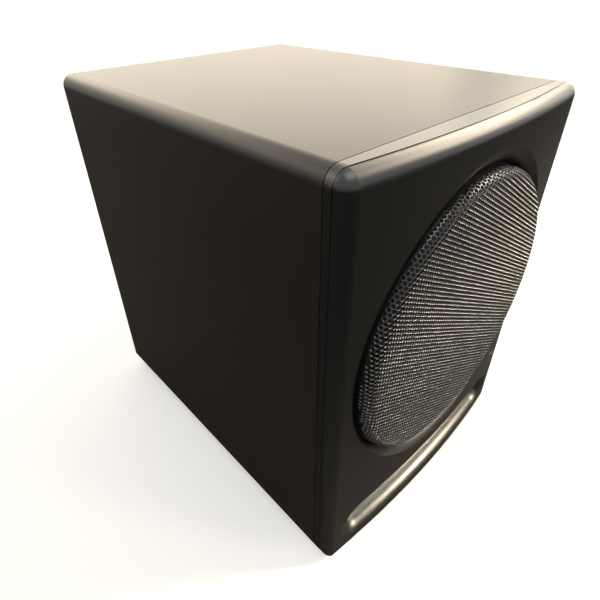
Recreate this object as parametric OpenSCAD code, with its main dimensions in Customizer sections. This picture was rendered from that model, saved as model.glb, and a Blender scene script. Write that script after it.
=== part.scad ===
/* [Cabinet] */
// Width of the cabinet
cabinet_w = 316; // [312:1:330]
// Height of the cabinet, without its feet
cabinet_h = 400; // [395:1:425]
// Depth of the cabinet behind the front baffle
cabinet_d = 372; // [340:1:410]
// Thickness of the cabinet's boards
wall = 18; // [15:1:18]
// Radius of the cabinet's long edges
edge_r = 12; // [10:0.5:14]
// Height of the rubber feet
foot_h = 8; // [6:1:14]

/* [Front baffle] */
// Thickness of the baffle at its middle
baffle_t = 27.5; // [26:0.5:30]
// Radius of the baffle's bow, seen from above
bow_r = 1300; // [1100:50:1600]
// Radius of the baffle's front edges
front_r = 11; // [9:0.5:11]
// Radius of the baffle's bottom edge, below the slot
under_r = 1.5; // [1:0.5:1.5]
// Step between the baffle's side band and its rounded front
shoulder = 0.5; // [0.3:0.1:0.8]
// Height of the woofer's axis above the cabinet's underside
woofer_z = 224; // [220:1:226]

/* [Grille] */
// Outer radius of the grille's pan
grille_r = 136; // [134:0.5:137]
// Radius of the pan's rolled rim
grille_rim_r = 10; // [8:0.5:11]
// Distance that the grille stands out past the baffle
grille_out = 3; // [1:0.5:4]
// Distance between hole centres in the coarse CAD pattern
grille_pitch = 10; // [10:0.5:14]
// Part of the pitch that each hole takes up
grille_open = 0.74; // [0.6:0.02:0.78]

/* [Slot port] */
// Height of the slot's middle above the cabinet's underside
port_z = 32.5; // [32.5:0.5:34]
// Half height of the slot's throat
port_half_h = 10; // [8:0.5:10]
// Radius of the slot's flared lips
port_flare_r = 20; // [16:0.5:20]
// Distance from the middle to the centre of each round slot end
port_end_x = 114; // [100:1:114]
// Length of the duct behind the baffle
port_duct_l = 190; // [120:5:220]

/* [Woofer] */
// Outer radius of the basket's flange
basket_r = 130; // [129:0.5:130]

/* [Amplifier] */
// Width of the amplifier's plate
plate_w = 230; // [226:1:236]
// Height of the amplifier's plate
plate_h = 290; // [284:1:300]
// Thickness of the amplifier's plate
plate_t = 3; // [2.5:0.5:4]
// Distance that the knobs stand out from the plate
knob_out = 15; // [13:0.5:18]

/* [Hidden] */

// Facets of a quick preview: large sweeps and small round pieces
sweep_fn = 360;
round_fn = 64;

// Colours as the photograph shows them
satin_black = "#211f1d";
vinyl_black = "#2b2723";
soft_black = "#161616";
grille_grey = "#4a4742";
bare_steel = "#9a9a98";
board_green = "#1f3a2c";

// Places along the depth: the seam between baffle and cabinet, and the cabinet's back
gasket_t = 2;
rear_out = gasket_t + plate_t + knob_out;
overall_d = grille_out + baffle_t + cabinet_d + rear_out;
seam_y = -overall_d / 2 + grille_out + baffle_t;
rear_y = seam_y + cabinet_d;

// Bow of the baffle: its axis, and the centre line of its rounded side edges
bow_y = seam_y - baffle_t + bow_r;
core_x = cabinet_w / 2 - shoulder - front_r;
core_f = baffle_t - bow_r + sqrt(pow(bow_r - front_r, 2) - core_x * core_x);
bow_half_angle = asin((cabinet_w / 2 + 20) / bow_r);
// Slight lift that keeps two rounded faces from meeting in a tangent line
lift = 0.02;
// Shadow gap between baffle and cabinet: its width and depth
gap_w = 0.7;
gap_d = 1.2;

// Recess for the grille: floor, and the round lip that leads down to it
recess_f = 14;
lip_r = 26;
lip_x = grille_r + 23.5;
lip_f = 2;

// Woofer seat and stack, as distances forward of the seam
seat_f = 8;
flange_t = 2.5;
flange_f = seat_f + flange_t;
hole_r = basket_r - 16.5;
rebate_r = basket_r + 0.5;
screw_ring_r = basket_r - 4;
woofer_screw_count = 8;
woofer_screw_r = 2;
fit_gap = 0.12;

// Cone and suspension
cone_r = 98;
neck_f = -32;
cone_t = 1.2;
roll_r = 9.3;
roll_x = cone_r + 8.3;
rubber_t = 1.2;
ledge_f = -38;
ledge_r = 68;
spider_r = 76;
dust_cap_r = 38;
dust_cap_h = 10;

// Motor: plates, magnet and voice coil
former_r = 25.6;
former_t = 0.3;
neck_r = former_r + 0.05;
winding_r = 27;
winding_l = 18;
basket_floor_f = -62.5;
top_plate_t = 8;
magnet_t = 24;
yoke_t = 8;
top_plate_r = 50;
magnet_r = 65;
magnet_bore_r = 33;
pole_r = 24.5;
vent_r = 9;
gap_bore_r = 27.6;

// Slot port
port_wall = 3;
port_flange = 4;
port_flange_t = 4;
slot_step = 0.15;
port_angle = asin(port_end_x / bow_r);
duct_end_x = (bow_r - baffle_t) * sin(port_angle);

// Status lens, at the lower right of the front
lens_x = 129;
lens_angle = asin(lens_x / bow_r);
lens_z = 84;
lens_arc_r = 20;
lens_offset = 13.5;
lens_depth = 3;
lens_proud = 0.8;
led_r = 2.4;
led_l = 8.6;

// Feet
foot_r = 15;
foot_inset = 42;
foot_screw_r = 2;
foot_front = 28;
foot_spots = [
  for (sx = [-1, 1], y = [seam_y + foot_front, rear_y - foot_inset])
    [sx * (cabinet_w / 2 - foot_inset), y]
];

// Amplifier plate: its outline and the places of what it carries, as seen from behind
plate_r = 6;
plate_lap = 12;
plate_z = cabinet_h / 2;
plate_screw_r = 1.75;
screw_inset = 6;
plate_spots = [
  for (sx = [-1, 1], y = [-1, -0.34, 0.34, 1])
    [sx * (plate_w / 2 - screw_inset), y * (plate_h / 2 - screw_inset)],
  for (sy = [-1, 1])
    [0, sy * (plate_h / 2 - screw_inset)]
];
level_at = [-70, 105];
crossover_at = [-20, 105];
polarity_at = [32, 105];
highpass_at = [76, 105];
jack_at = [for (y = [60, 26], x = [-78, -44]) [x, y]];
phono_at = [for (y = [60, 26], x = [30, 62]) [x, y]];
heatsink_at = [0, -35];
inlet_at = [-55, -108];
rocker_at = [20, -108];
transformer_at = [60, -62];

// Knobs, switches and sockets
shaft_r = 3;
shaft_gap = 0.05;
bushing_r = 4.5;
knob_r = 9;
knob_lift = 1;
pot_r = 12;
pot_l = 10;
slide_travel = 4;
slide_lever = [5.5, 4.4];
slide_gap = 0.35;
jack_r = 3.25;
jack_bore_l = 30;
jack_nose_r = 6;
phono_r = 4.15;
phono_l = 9;
phono_neck_r = 5;
inlet_pocket = [24.4, 16.6];
inlet_flange = [50, 24];
inlet_depth = 22;
blade = [2, 4];
blade_spots = [[-7, -2.4], [0, 2.4], [7, -2.4]];
rocker_half = [10, 8];
rocker_gap = 0.35;
// Tilt of the rocker to each side of the middle
rocker_tilt = 10;

// Shared shapes

module rounded_rect(w, h, r) {
  square([w - 2 * r, h], center = true);
  square([w, h - 2 * r], center = true);
  for (sx = [-1, 1], sy = [-1, 1])
    translate([sx * (w / 2 - r), sy * (h / 2 - r)])
      circle(r = r, $fn = round_fn);
}

module stadium(half_l, r) {
  square([2 * half_l, 2 * r], center = true);
  for (s = [-1, 1])
    translate([s * half_l, 0])
      circle(r = r, $fn = round_fn);
}

// Local z points forward from the seam, along the woofer's axis
module on_woofer()
  translate([0, seam_y, foot_h + woofer_z])
    rotate([90, 0, 0])
      children();

// Local z points forward from the seam, at a height above the cabinet's underside
module on_front(z = 0)
  translate([0, seam_y, foot_h + z])
    rotate([90, 0, 0])
      children();

// Local z points back out of the amplifier's plate, x to the right as seen from behind
module on_plate(at = [0, 0], out = 0)
  translate([0, rear_y + gasket_t + out, foot_h + plate_z])
    rotate([90, 0, 180])
      translate([at[0], at[1], 0])
        children();

// Revolves a profile of radius and forward distance about the woofer's axis
module revolved(facets = sweep_fn) rotate_extrude($fn = facets) children();

// Sweeps a profile of radius and height about the bow's upright axis
module about_bow(half_angle)
  translate([0, bow_y, foot_h])
    rotate([0, 0, -90 - half_angle])
      rotate_extrude(angle = 2 * half_angle, $fn = 4 * sweep_fn)
        children();

// Local x points straight out of the bowed front, at an angle round the bow and a height
module out_of_bow(angle, z)
  translate([0, bow_y, foot_h + z])
    rotate([0, 0, -90 + angle])
      children();

module around_woofer(count, offset_angle) {
  for (i = [1 : count])
    rotate(i * 360 / count + offset_angle)
      children();
}

module pan_screw(shank_r, length) {
  difference() {
    cylinder(r = 2 * shank_r, h = 1.2 * shank_r, $fn = round_fn);
    for (turn = [0, 90])
      rotate(turn)
        translate([-1.2 * shank_r, -0.25 * shank_r, 0.5 * shank_r])
          cube([2.4 * shank_r, 0.5 * shank_r, shank_r]);
  }
  translate([0, 0, 1 - length])
    cylinder(r = shank_r, h = length - 1, $fn = round_fn);
  translate([0, 0, -length])
    cylinder(r1 = shank_r / 3, r2 = shank_r, h = 1, $fn = round_fn);
}

// Cabinet

module cabinet_wrap() {
  color(vinyl_black)
  difference() {
    translate([0, seam_y, foot_h + cabinet_h / 2])
      rotate([-90, 0, 0])
        difference() {
          linear_extrude(cabinet_d) rounded_rect(cabinet_w, cabinet_h, edge_r);
          translate([0, 0, -1])
            linear_extrude(cabinet_d + 2)
              rounded_rect(cabinet_w - 2 * wall, cabinet_h - 2 * wall, 3);
        }
    for (spot = foot_spots)
      translate([spot[0], spot[1], foot_h - 1])
        cylinder(r = foot_screw_r + fit_gap, h = 14, $fn = round_fn);
  }
}

module back_panel() {
  color(vinyl_black)
  translate([0, rear_y, foot_h + plate_z])
    rotate([90, 0, 0])
      difference() {
        linear_extrude(wall) rounded_rect(cabinet_w - 2 * wall, cabinet_h - 2 * wall, 5);
        translate([0, 0, -1])
          linear_extrude(wall + 2)
            rounded_rect(plate_w - 2 * plate_lap, plate_h - 2 * plate_lap, 4);
        for (spot = plate_spots)
          translate([spot[0], spot[1], -1])
            cylinder(r = plate_screw_r + fit_gap, h = 15, $fn = round_fn);
      }
}

module foot(spot) {
  color(soft_black)
  translate([spot[0], spot[1], 0])
    difference() {
      cylinder(r1 = foot_r - 2, r2 = foot_r, h = foot_h, $fn = round_fn);
      translate([0, 0, -1])
        cylinder(r = foot_screw_r + fit_gap, h = foot_h + 2, $fn = round_fn);
      translate([0, 0, -1])
        cylinder(r = 2 * foot_screw_r + 1, h = foot_h - 2, $fn = round_fn);
    }
}

module foot_front_left() foot(foot_spots[0]);
module foot_rear_left() foot(foot_spots[1]);
module foot_front_right() foot(foot_spots[2]);
module foot_rear_right() foot(foot_spots[3]);

module foot_screws() {
  color(bare_steel)
  for (spot = foot_spots)
    translate([spot[0], spot[1], foot_h - 3])
      mirror([0, 0, 1])
        pan_screw(foot_screw_r, 14);
}

// Front baffle

// Upright section of the bowed front, with a wide round at its top and a small one at its bottom
module bow_section() {
  low = shoulder + under_r;
  high = cabinet_h - shoulder - front_r;
  translate([bow_r - baffle_t - 1, shoulder])
    square([baffle_t + 1 - front_r, cabinet_h - 2 * shoulder]);
  translate([bow_r - baffle_t - 1, shoulder])
    square([baffle_t + 1 - under_r, high - shoulder]);
  translate([bow_r - front_r - 1, low])
    square([front_r + 1, high - low]);
  translate([bow_r - front_r, high])
    circle(r = front_r, $fn = round_fn);
  translate([bow_r - under_r, low])
    circle(r = under_r, $fn = round_fn);
}

// Plan of the front, which rounds its left and right edges and starts in front of the shadow gap
module bow_plan() {
  start_f = 2 * gap_w;
  bow_end_x = core_x * bow_r / (bow_r - front_r);
  translate([-bow_end_x, start_f])
    square([2 * bow_end_x, 3 * baffle_t]);
  translate([-core_x - front_r, start_f])
    square([2 * (core_x + front_r), core_f + lift - start_f]);
  for (s = [-1, 1])
    intersection() {
      translate([s * core_x, core_f + lift])
        circle(r = front_r, $fn = round_fn);
      translate([-cabinet_w, start_f])
        square([2 * cabinet_w, 3 * baffle_t]);
    }
}

// Post that a corner of the front is cut round to, with a ball on its end at the top corners
module corner_post(top) {
  ball_r = front_r + 2 * lift;
  if (top)
    rotate_extrude($fn = round_fn)
      intersection() {
        union() {
          translate([0, -2]) square([ball_r, core_f + 2]);
          translate([0, core_f]) circle(r = ball_r, $fn = round_fn);
        }
        translate([0, -2]) square([2 * ball_r, 2 * baffle_t]);
      }
  else
    translate([0, 0, -2]) cylinder(r = ball_r, h = 3 * baffle_t, $fn = round_fn);
}

// What is taken off one corner of the front
module corner_waste(sx, sz) {
  reach = front_r + 8;
  start = 0.4;
  translate([sx * core_x, sz * (cabinet_h / 2 - shoulder - front_r), 0])
    difference() {
      translate([sx > 0 ? start : -reach, sz > 0 ? start : -reach, -1])
        cube([reach - start, reach - start, 2 * baffle_t]);
      corner_post(sz > 0);
    }
}

// Rounded, bowed front of the baffle
module bowed_face() {
  difference() {
    intersection() {
      about_bow(bow_half_angle) bow_section();
      translate([0, seam_y, foot_h - 1])
        mirror([0, 1, 0])
          linear_extrude(cabinet_h + 2)
            bow_plan();
    }
    on_front(cabinet_h / 2)
      for (sx = [-1, 1], sz = [-1, 1])
        corner_waste(sx, sz);
  }
}

// Full-size band that carries the face, flush with the cabinet behind a shadow gap
module side_band() {
  intersection() {
    on_front(cabinet_h / 2) {
      translate([0, 0, gap_w])
        linear_extrude(baffle_t)
          rounded_rect(cabinet_w, cabinet_h, edge_r);
      linear_extrude(2 * gap_w)
        rounded_rect(cabinet_w - 2 * gap_d, cabinet_h - 2 * gap_d, edge_r - gap_d);
    }
    translate([0, bow_y, foot_h - 1])
      cylinder(r = bow_r - front_r, h = cabinet_h + 2, $fn = 4 * sweep_fn);
  }
}

// Section of the slot port: a throat with two rounded lips, measured from the lips' centres
module flare_section(inset = 0) {
  outer = port_half_h + port_flare_r;
  throat = port_half_h - inset;
  difference() {
    translate([-2 * baffle_t, -outer])
      square([2 * baffle_t + port_flare_r + 10, 2 * outer]);
    for (s = [-1, 1]) {
      translate([0, s * outer])
        circle(r = port_flare_r + inset, $fn = round_fn);
      translate([-2 * baffle_t - 1, s > 0 ? throat : -outer - 1])
        square([2 * baffle_t + 1, outer - throat + 1]);
    }
  }
}

module slot_middle_cut()
  about_bow(port_angle)
    translate([bow_r - port_flare_r, port_z])
      flare_section();

// Round end of the slot, a hair smaller than the middle so that the two overlap cleanly
module slot_end_cut(side)
  out_of_bow(side * port_angle, port_z)
    translate([bow_r - port_flare_r, 0, 0])
      rotate([0, 90, 0])
        rotate_extrude($fn = round_fn)
          intersection() {
            rotate(90) flare_section(slot_step);
            translate([0, -3 * baffle_t]) square([60, 6 * baffle_t]);
          }

// Recess of the grille, the woofer's rebate and the hole behind it
module woofer_cut() {
  on_woofer()
    revolved() {
      difference() {
        translate([0, recess_f])
          square([lip_x, 2 * baffle_t]);
        translate([lip_x, lip_f])
          circle(r = lip_r, $fn = sweep_fn);
      }
      translate([0, seat_f])
        square([rebate_r, recess_f - seat_f + 1]);
      translate([0, -1])
        square([hole_r, seat_f + 2]);
    }
}

module lens_outline(grow = 0) {
  intersection_for(s = [-1, 1])
    translate([0, s * lens_offset])
      circle(r = lens_arc_r + grow, $fn = sweep_fn);
}

// Local z points out of the bowed front, with its zero on the front at the lens's middle
module lens_place(out)
  out_of_bow(lens_angle, lens_z)
    translate([bow_r + out, 0, 0])
      rotate([90, 0, 90])
        children();

module front_baffle() {
  color(satin_black)
  difference() {
    union() {
      bowed_face();
      side_band();
    }
    woofer_cut();
    slot_middle_cut();
    slot_end_cut(-1);
    slot_end_cut(1);
    lens_place(-lens_depth)
      linear_extrude(2 * lens_depth)
        lens_outline(0.15);
    lens_place(-2 * baffle_t)
      cylinder(r = led_r + fit_gap, h = 2 * baffle_t, $fn = round_fn);
    on_woofer()
      around_woofer(woofer_screw_count, 180 / woofer_screw_count)
        translate([screw_ring_r, 0, -1])
          cylinder(r = woofer_screw_r + fit_gap, h = recess_f, $fn = round_fn);
  }
}

module status_lens() {
  color("#5b4a3a")
  lens_place(-lens_depth) {
    linear_extrude(lens_depth) lens_outline();
    translate([0, 0, lens_depth])
      linear_extrude(lens_proud)
        lens_outline(-0.6);
  }
}

module status_led() {
  color("#d8d4cc")
  lens_place(-lens_depth - led_l)
    cylinder(r = led_r, h = led_l, $fn = round_fn);
}

module port_duct() {
  color(soft_black)
  on_front(port_z)
    mirror([0, 0, 1])
      difference() {
        union() {
          linear_extrude(port_duct_l) stadium(duct_end_x, port_half_h + port_wall);
          linear_extrude(port_flange_t) stadium(duct_end_x, port_half_h + port_flange);
        }
        translate([0, 0, -1])
          linear_extrude(port_duct_l + 2)
            stadium(duct_end_x, port_half_h);
      }
}

// Grille

grille_t = 1.2;
grille_top_f = baffle_t + grille_out;
grille_foot_f = recess_f + 1;

// Filled section of the pan, drawn in by the sheet's thickness for its inside
module pan_section(inset) {
  rim_x = grille_r - grille_rim_r;
  rim_f = grille_top_f - grille_rim_r;
  translate([0, recess_f - 5])
    square([rim_x, grille_top_f - inset - recess_f + 5]);
  translate([rim_x, rim_f])
    circle(r = grille_rim_r - inset, $fn = round_fn);
  translate([0, recess_f - 5])
    square([grille_r - inset, rim_f - recess_f + 5]);
}

// Centres of the holes: upright columns, every second one shifted by half a pitch
function hole_centres(pitch, reach) =
  let (step = pitch * sqrt(3) / 2, columns = ceil(reach / step), rows = ceil(reach / pitch))
  [
    for (column = [-columns : columns], row = [-rows : rows])
      let (x = column * step, z = (row + (column % 2 == 0 ? 0 : 0.5)) * pitch)
        if (norm([x, z]) < reach) [x, z]
  ];

module grille() {
  color(grille_grey)
  on_woofer()
    difference() {
      revolved()
        intersection() {
          difference() {
            pan_section(0);
            pan_section(grille_t);
          }
          translate([0, grille_foot_f])
            square([grille_r + 10, 2 * baffle_t]);
        }
      for (spot = hole_centres(grille_pitch, grille_r - grille_rim_r - grille_pitch / 2))
        translate([spot[0], spot[1], recess_f])
          cylinder(r = grille_pitch * grille_open / 2, h = 2 * baffle_t, $fn = 16);
    }
}

module grille_gasket() {
  color(soft_black)
  on_woofer()
    revolved()
      translate([rebate_r + 0.5, recess_f])
        square([grille_r - rebate_r - 0.5, grille_foot_f - recess_f]);
}

// Woofer

module basket() {
  wall_t = 2;
  mouth_r = hole_r - 1.5;
  step_r = spider_r + 4;
  floor_r = ledge_r - 6;
  floor_hole_r = gap_bore_r + 3;
  window_angle = 38;
  color(soft_black)
  on_woofer()
    difference() {
      revolved()
        polygon([
          [basket_r, seat_f], [basket_r, flange_f], [mouth_r, flange_f], [step_r, ledge_f + wall_t],
          [step_r, ledge_f], [ledge_r, ledge_f], [floor_r, basket_floor_f + wall_t],
          [floor_hole_r, basket_floor_f + wall_t], [floor_hole_r, basket_floor_f],
          [floor_r + wall_t, basket_floor_f], [ledge_r + wall_t, ledge_f - wall_t],
          [step_r + wall_t, ledge_f - wall_t], [hole_r - 0.8, seat_f]
        ]);
      around_woofer(6, 0)
        rotate_extrude(angle = window_angle, $fn = round_fn)
          polygon([[70, -30], [120, -30], [120, -2], [90, -2]]);
      around_woofer(woofer_screw_count, 180 / woofer_screw_count)
        translate([screw_ring_r, 0, 0])
          cylinder(r = woofer_screw_r + 2 * fit_gap, h = 2 * flange_f, $fn = round_fn);
    }
}

module woofer_gasket() {
  color("#101010")
  on_woofer()
    revolved()
      translate([roll_x + roll_r + 0.6, flange_f + rubber_t])
        square([5, 2]);
}

module woofer_screws() {
  color(soft_black)
  on_woofer()
    around_woofer(woofer_screw_count, 180 / woofer_screw_count)
      translate([screw_ring_r, 0, flange_f])
        pan_screw(woofer_screw_r, 16);
}

module surround() {
  color("#141414")
  on_woofer()
    revolved() {
      intersection() {
        difference() {
          translate([roll_x, flange_f]) circle(r = roll_r, $fn = round_fn);
          translate([roll_x, flange_f]) circle(r = roll_r - rubber_t, $fn = round_fn);
        }
        translate([0, flange_f]) square([basket_r, 2 * roll_r]);
      }
      translate([roll_x + roll_r - rubber_t / 2, flange_f])
        square([6, rubber_t]);
      translate([roll_x - roll_r - 4 + rubber_t / 2, flange_f])
        square([4, rubber_t]);
    }
}

module spider() {
  ridge = 1.6;
  waves = 5;
  span = spider_r - 3 - former_r - 0.4;
  steps = 60;
  function ripple(i) = ridge * (1 - cos(360 * waves * i / steps)) / 2;
  color("#c8a868")
  on_woofer()
    revolved()
      polygon([
        [spider_r, ledge_f], [spider_r, ledge_f + 0.8],
        for (i = [0 : steps]) [spider_r - 3 - span * i / steps, ledge_f + 0.8 + ripple(i)],
        for (i = [steps : -1 : 0]) [spider_r - 3 - span * i / steps, ledge_f + ripple(i)]
      ]);
}

module cone() {
  rim_f = flange_f;
  color("#1c1b1a")
  on_woofer()
    revolved()
      polygon([
        [cone_r, rim_f], [cone_r - 4.5, rim_f], [neck_r, neck_f + cone_t],
        [neck_r, neck_f - 4], [neck_r + cone_t, neck_f - 4], [neck_r + cone_t, neck_f],
        [cone_r - 4, rim_f - cone_t], [cone_r, rim_f - cone_t]
      ]);
}

module dust_cap() {
  ball_r = (dust_cap_r * dust_cap_r + dust_cap_h * dust_cap_h) / (2 * dust_cap_h);
  rise = (flange_f - neck_f - cone_t) / (cone_r - 4.5 - neck_r);
  foot_f = neck_f + cone_t + rise * (dust_cap_r - neck_r) + 0.05;
  color("#1a1918")
  on_woofer()
    revolved()
      intersection() {
        difference() {
          translate([0, foot_f + dust_cap_h - ball_r]) circle(r = ball_r, $fn = sweep_fn);
          translate([0, foot_f + dust_cap_h - ball_r]) circle(r = ball_r - 0.8, $fn = sweep_fn);
        }
        translate([0, foot_f]) square([dust_cap_r, dust_cap_h + 1]);
      }
}

former_top_f = neck_f - 2;
winding_mid_f = basket_floor_f - top_plate_t / 2;

module coil_former() {
  color("#b9a37a")
  on_woofer()
    revolved()
      translate([former_r - former_t, winding_mid_f - winding_l / 2])
        square([former_t, former_top_f - winding_mid_f + winding_l / 2]);
}

module coil_winding() {
  color("#a8622c")
  on_woofer()
    revolved()
      translate([former_r, winding_mid_f - winding_l / 2])
        square([winding_r - former_r, winding_l]);
}

module top_plate() {
  color(bare_steel)
  on_woofer()
    revolved()
      translate([gap_bore_r, basket_floor_f - top_plate_t])
        square([top_plate_r - gap_bore_r, top_plate_t]);
}

module magnet() {
  color("#3a3a3c")
  on_woofer()
    revolved()
      translate([magnet_bore_r, basket_floor_f - top_plate_t - magnet_t])
        square([magnet_r - magnet_bore_r, magnet_t]);
}

module yoke() {
  foot_f = basket_floor_f - top_plate_t - magnet_t;
  color(bare_steel)
  on_woofer()
    revolved() {
      translate([vent_r, foot_f - yoke_t])
        square([top_plate_r + 2 - vent_r, yoke_t]);
      translate([vent_r, foot_f - 1])
        square([pole_r - vent_r, basket_floor_f - foot_f + 1]);
    }
}

// Amplifier

module plate_outline(inset) rounded_rect(plate_w - 2 * inset, plate_h - 2 * inset, plate_r);

module plate_holes() {
  for (spot = plate_spots)
    translate([spot[0], spot[1], -1])
      cylinder(r = plate_screw_r + fit_gap, h = 20, $fn = round_fn);
}

module amp_gasket() {
  color(soft_black)
  on_plate(out = -gasket_t)
    difference() {
      linear_extrude(gasket_t)
        difference() {
          plate_outline(1);
          rounded_rect(plate_w - 2 * plate_lap, plate_h - 2 * plate_lap, 4);
        }
      plate_holes();
    }
}

module through_plate(at, r)
  translate([at[0], at[1], -1])
    cylinder(r = r, h = plate_t + 2, $fn = round_fn);

module window(at, size)
  translate([at[0] - size[0] / 2, at[1] - size[1] / 2, -1])
    cube([size[0], size[1], plate_t + 2]);

module amp_plate() {
  slide_window = [slide_lever[0] + slide_travel + 2 * slide_gap, slide_lever[1] + 2 * slide_gap];
  color(satin_black)
  on_plate()
    difference() {
      linear_extrude(plate_t) plate_outline(0);
      plate_holes();
      for (at = [level_at, crossover_at]) through_plate(at, bushing_r + fit_gap);
      for (at = jack_at) through_plate(at, jack_nose_r + fit_gap);
      for (at = phono_at) through_plate(at, phono_neck_r + fit_gap);
      for (at = [polarity_at, highpass_at]) window(at + [slide_travel / 2, 0], slide_window);
      window(inlet_at, inlet_pocket + [4.4, 4.4]);
      window(rocker_at, 2 * rocker_half + [5, 5]);
      through_plate(transformer_at, bolt_r + fit_gap);
    }
}

module plate_screws() {
  color(soft_black)
  on_plate(out = plate_t)
    for (spot = plate_spots)
      translate([spot[0], spot[1], 0])
        pan_screw(plate_screw_r, 17);
}

module heatsink() {
  fin_count = 13;
  fin_t = 2;
  size = [176, 72];
  base_t = 3.5;
  fin_h = knob_out - base_t - 2;
  pitch = (size[0] - fin_t) / (fin_count - 1);
  color("#1a1a1b")
  on_plate(heatsink_at, plate_t)
    translate([-size[0] / 2, -size[1] / 2, 0]) {
      cube([size[0], size[1], base_t]);
      for (i = [0 : fin_count - 1])
        translate([i * pitch, 0, base_t - 0.5])
          cube([fin_t, size[1], fin_h + 0.5]);
    }
}

post_l = 36;
post_r = 3.2;
board_size = [120, 84];
board_at = [-32, 5];
board_t = 1.6;
board_inset = 6;
board_spots = [
  for (sx = [-1, 1], sy = [-1, 1])
    [sx * (board_size[0] / 2 - board_inset), sy * (board_size[1] / 2 - board_inset)]
];

module board_posts() {
  color("#c2a24a")
  on_plate(board_at)
    for (spot = board_spots)
      translate([spot[0], spot[1], -post_l])
        cylinder(r = post_r, h = post_l, $fn = 6);
}

module amp_board() {
  color(board_green)
  on_plate(board_at, -post_l - board_t)
    difference() {
      linear_extrude(board_t)
        square(board_size, center = true);
      for (spot = board_spots)
        translate([spot[0], spot[1], -1])
          cylinder(r = post_r / 2, h = board_t + 2, $fn = round_fn);
    }
}

module capacitor(x) {
  can_r = 12.5;
  can_l = 36;
  color("#22252c")
  on_plate(board_at + [x, 12], -post_l - board_t)
    mirror([0, 0, 1]) {
      cylinder(r = can_r, h = can_l, $fn = round_fn);
      translate([0, 0, can_l])
        cylinder(r = can_r - 1.5, h = 1, $fn = round_fn);
    }
}

module capacitor_left() capacitor(-32);
module capacitor_right() capacitor(0);

toroid_r = 24;
toroid_half = 13;
bolt_r = 3;
washer_t = 2;

module transformer() {
  color("#6d5a3c")
  on_plate(transformer_at)
    translate([0, 0, -toroid_half])
      rotate_extrude($fn = sweep_fn)
        intersection() {
          translate([toroid_r, 0]) circle(r = toroid_half + 1.5, $fn = round_fn);
          translate([0, -toroid_half]) square([80, 2 * toroid_half]);
        }
}

module transformer_bolt() {
  color(bare_steel)
  on_plate(transformer_at) {
    translate([0, 0, -2 * toroid_half - 8])
      cylinder(r = bolt_r, h = 2 * toroid_half + 8 + plate_t, $fn = round_fn);
    translate([0, 0, -2 * toroid_half - washer_t])
      cylinder(r = toroid_r - 2, h = washer_t, $fn = sweep_fn);
    translate([0, 0, -2 * toroid_half - washer_t - 4])
      cylinder(r = 2 * bolt_r, h = 4.5, $fn = 6);
  }
}

module mains_inlet() {
  body = inlet_pocket + [4, 4];
  color("#0f0f10")
  on_plate(inlet_at, plate_t)
    difference() {
      union() {
        linear_extrude(2.5) rounded_rect(inlet_flange[0], inlet_flange[1], 4);
        translate([-body[0] / 2, -body[1] / 2, -inlet_depth])
          cube([body[0], body[1], inlet_depth + 1]);
      }
      translate([0, 0, -inlet_depth + 3])
        linear_extrude(inlet_depth + 3)
          intersection() {
            square(inlet_pocket, center = true);
            translate([0, 3])
              rotate(45)
                square(26, center = true);
          }
      for (spot = blade_spots)
        translate([spot[0], spot[1], -inlet_depth - 1])
          linear_extrude(6)
            square(blade, center = true);
    }
}

module inlet_blades() {
  color(bare_steel)
  on_plate(inlet_at, plate_t)
    for (spot = blade_spots)
      translate([spot[0], spot[1], -inlet_depth - 7])
        linear_extrude(inlet_depth)
          square(blade, center = true);
}

rocker_pin_r = 1.5;
rocker_pin_l = 1.8;
// Depth of the rocker's pin under the plate's outer face
rocker_sink = 1;

module switch_frame() {
  opening = 2 * rocker_half + [2 * rocker_gap, 2 * rocker_gap];
  body = opening + [4, 4];
  color("#0f0f10")
  on_plate(rocker_at, plate_t)
    difference() {
      union() {
        translate([-body[0] / 2 - 2, -body[1] / 2 - 2, 0])
          cube([body[0] + 4, body[1] + 4, 2]);
        translate([-body[0] / 2, -body[1] / 2, -18])
          cube([body[0], body[1], 19]);
      }
      translate([-opening[0] / 2, -opening[1] / 2, -8])
        cube([opening[0], opening[1], 20]);
      translate([0, 0, -rocker_sink])
        rotate([0, 90, 0])
          cylinder(r = rocker_pin_r + shaft_gap, h = body[0] + 2, center = true, $fn = round_fn);
    }
}

module power_rocker() {
  color("#1a1a1a")
  on_plate(rocker_at, plate_t)
    translate([0, 0, -rocker_sink]) rotate([rocker_tilt, 0, 0]) {
      rotate([90, 0, 90])
        linear_extrude(2 * rocker_half[0], center = true)
          difference() {
            circle(r = rocker_half[1], $fn = round_fn);
            translate([-20, -25.5]) square([40, 20]);
            for (s = [-1, 1])
              translate([0, 3])
                rotate(s * rocker_tilt)
                  translate([s > 0 ? 0 : -20, 0])
                    square([20, 20]);
          }
      rotate([0, 90, 0])
        cylinder(r = rocker_pin_r, h = 2 * (rocker_half[0] + rocker_pin_l), center = true, $fn = round_fn);
    }
}

module pot(at) {
  color(bare_steel)
  on_plate(at)
    difference() {
      union() {
        translate([0, 0, -pot_l])
          cylinder(r = pot_r, h = pot_l, $fn = round_fn);
        cylinder(r = bushing_r, h = plate_t, $fn = round_fn);
      }
      translate([0, 0, -pot_l + 2])
        cylinder(r = shaft_r + shaft_gap, h = pot_l + plate_t, $fn = round_fn);
    }
}

module level_pot() pot(level_at);
module crossover_pot() pot(crossover_at);

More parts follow.
